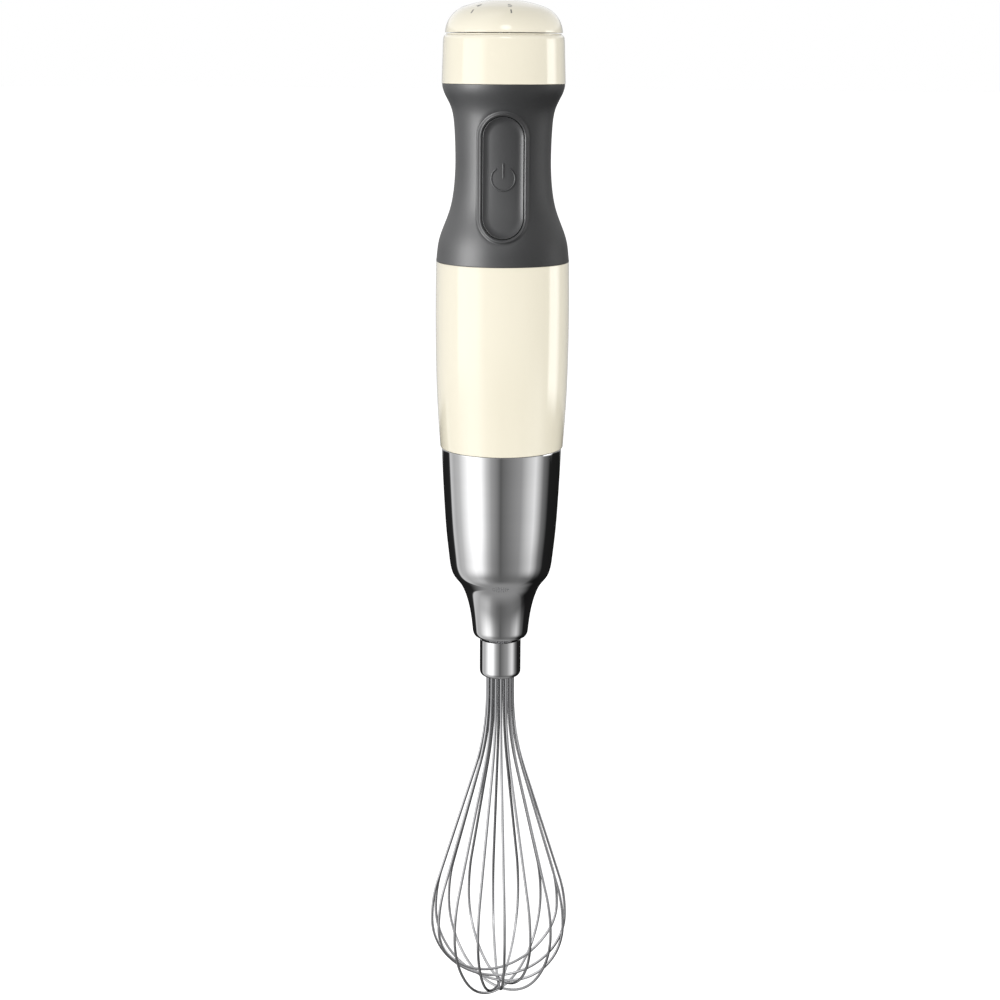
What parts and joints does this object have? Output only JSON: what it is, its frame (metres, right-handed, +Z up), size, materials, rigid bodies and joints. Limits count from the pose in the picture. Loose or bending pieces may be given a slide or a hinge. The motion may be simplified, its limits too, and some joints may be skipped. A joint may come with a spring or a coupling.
{
  "type": "immersion blender",
  "caption": "Corded stick blender fitted with its whisk: waisted soft grip with power button, turning speed dial, motor sleeve, twist-off steel gear adapter and balloon whisk",
  "frame": {"origin": "on the tool's axis at the lowest point of the whisk", "axes": "+Z up along the tool's axis from whisk to dial, -Y the side of the power button, +Y the side of the cord inlet, +X completes the right hand"},
  "size_m": [0.0686, 0.0686, 0.4916],
  "materials": {
    "cream_gloss": "glossy moulded plastic, warm cream",
    "soft_grip": "matte soft-touch overmoulding, dark grey",
    "black_rubber": "matte",
    "black_nylon": "moulded, fine texture",
    "polished_steel": "mirror-polished stainless steel",
    "whisk_wire": "polished stainless wire",
    "machined_steel": "turned",
    "motor_iron": "zinc-plated sheet and laminations",
    "magnet_ferrite": "sintered",
    "gear_acetal": "natural acetal",
    "bearing_bronze": "sintered bronze and brass",
    "copper": "enamelled copper",
    "carbon": "pressed graphite",
    "circuit_board": "glass-epoxy laminate",
    "heatsink_aluminium": "extruded",
    "lead_insulation": "insulated wire"
  },
  "bodies": {
    "motor_body": {"head_collar": "cream_gloss", "cord_gland": "black_rubber", "dial_bracket": "black_nylon", "bracket_screws": "machined_steel", "cord_clamp": "black_nylon", "speed_control": "black_nylon", "grip_sleeve": "soft_grip", "handle_core": "black_nylon", "power_switch": "black_nylon", "button_spring": "machined_steel", "control_board": "circuit_board", "triac_heatsink": "heatsink_aluminium", "motor_leads": "lead_insulation", "motor_housing": "cream_gloss", "bayonet_socket": "black_nylon", "motor_can": "motor_iron", "lower_bushing": "bearing_bronze", "field_magnets": "magnet_ferrite", "motor_end_cap": "black_nylon", "motor_screws": "machined_steel", "upper_bushing": "bearing_bronze", "motor_damper": "black_rubber", "brush_holders": "bearing_bronze", "carbon_brushes": "carbon", "brush_springs": "machined_steel"},
    "dial": {"speed_dial": "cream_gloss", "dial_spindle": "machined_steel"},
    "button": {"power_button": "soft_grip"},
    "plunger": {"switch_plunger": "gear_acetal"},
    "rotor": {"motor_shaft": "machined_steel", "armature_core": "motor_iron", "armature_windings": "copper", "commutator": "copper", "cooling_fan": "black_nylon", "drive_dog": "machined_steel"},
    "adapter": {"adapter_shell": "polished_steel", "adapter_core": "black_nylon", "ring_gear": "gear_acetal", "gearbox_cover": "gear_acetal", "input_bushing": "bearing_bronze", "neck_bushing": "bearing_bronze", "neck_seal": "black_rubber"},
    "sun": {"input_shaft": "machined_steel", "input_dog": "machined_steel"},
    "carrier": {"planet_carrier": "machined_steel", "planet_pins": "machined_steel"},
    "planet_1": {"planet_gear_1": "gear_acetal"},
    "planet_2": {"planet_gear_2": "gear_acetal"},
    "planet_3": {"planet_gear_3": "gear_acetal"},
    "whisk": {"whisk_ferrule": "polished_steel", "whisk_hub": "black_nylon", "whisk_shaft": "machined_steel", "whisk_wire_1": "whisk_wire", "whisk_wire_2": "whisk_wire", "whisk_wire_3": "whisk_wire", "whisk_wire_4": "whisk_wire", "whisk_wire_5": "whisk_wire", "whisk_wire_6": "whisk_wire", "whisk_wire_7": "whisk_wire", "whisk_wire_8": "whisk_wire"}
  },
  "joints": [
    {"name": "dial_turn", "type": "hinge", "parent": "motor_body", "child": "dial", "pos_m": [0, 0, 0.47], "axis": [0, 0, -1], "range_deg": [0, 188]},
    {"name": "button_press", "type": "slide", "parent": "motor_body", "child": "button", "axis": [0, 1, 0], "range_m": [0, 0.0018], "stiffness_N_per_m": 1500, "springref_m": -0.0008, "deforming": ["button_spring"]},
    {"name": "plunger_travel", "type": "slide", "parent": "motor_body", "child": "plunger", "axis": [0, 1, 0], "range_m": [0, 0.0018]},
    {"name": "adapter_twist", "type": "hinge", "parent": "motor_body", "child": "adapter", "pos_m": [0, 0, 0.284], "axis": [0, 0, 1], "range_deg": [0, 20]},
    {"name": "rotor_spin", "type": "hinge", "parent": "motor_body", "child": "rotor", "pos_m": [0, 0, 0.33], "axis": [0, 0, 1], "continuous": true},
    {"name": "input_spin", "type": "hinge", "parent": "adapter", "child": "sun", "pos_m": [0, 0, 0.26], "axis": [0, 0, 1], "continuous": true},
    {"name": "carrier_spin", "type": "hinge", "parent": "adapter", "child": "carrier", "pos_m": [0, 0, 0.22], "axis": [0, 0, 1], "continuous": true},
    {"name": "planet_1_spin", "type": "hinge", "parent": "carrier", "child": "planet_1", "pos_m": [0.012, 0, 0.2475], "axis": [0, 0, 1], "continuous": true},
    {"name": "planet_2_spin", "type": "hinge", "parent": "carrier", "child": "planet_2", "pos_m": [-0.006, 0.01039, 0.2475], "axis": [0, 0, 1], "continuous": true},
    {"name": "planet_3_spin", "type": "hinge", "parent": "carrier", "child": "planet_3", "pos_m": [-0.006, -0.01039, 0.2475], "axis": [0, 0, 1], "continuous": true},
    {"name": "whisk_pull", "type": "slide", "parent": "carrier", "child": "whisk", "axis": [0, 0, -1], "range_m": [0, 0.03]}
  ],
  "couplings": [
    {"joint": "input_spin", "follows": "rotor_spin", "ratio": 1},
    {"joint": "carrier_spin", "follows": "rotor_spin", "ratio": 0.2},
    {"joint": "planet_1_spin", "follows": "rotor_spin", "ratio": -0.53333},
    {"joint": "planet_2_spin", "follows": "rotor_spin", "ratio": -0.53333},
    {"joint": "planet_3_spin", "follows": "rotor_spin", "ratio": -0.53333},
    {"joint": "plunger_travel", "follows": "button_press", "ratio": 1}
  ]
}
